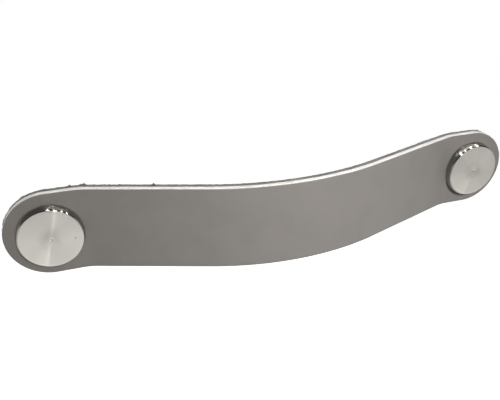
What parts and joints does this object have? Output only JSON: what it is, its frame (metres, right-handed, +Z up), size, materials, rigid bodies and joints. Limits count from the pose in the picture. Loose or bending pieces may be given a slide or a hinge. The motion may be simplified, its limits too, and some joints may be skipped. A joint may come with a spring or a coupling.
{
  "type": "leather drawer pull",
  "caption": "Grey leather drawer pull: a round-ended strap bowed out between turned steel knobs, screwed on from behind the drawer front.",
  "frame": {"origin": "midway between the two fixing holes, on the plane of the drawer front that the flat ends lie against", "axes": "+X along the strap through both holes, +Y into the drawer front along the screws, +Z up; the front faces -Y"},
  "size_m": [0.1894, 0.0226, 0.0296],
  "materials": {
    "face_leather": "smooth grey finished leather with a pale raw edge",
    "backing_leather": "coarse dark grey flesh side with short fibres",
    "knob_steel": "fine turned face, polished wall"
  },
  "bodies": {
    "root": {"face_leather": "face_leather", "backing_leather": "backing_leather", "left_knob": "knob_steel", "right_knob": "knob_steel"}
  },
  "joints": []
}
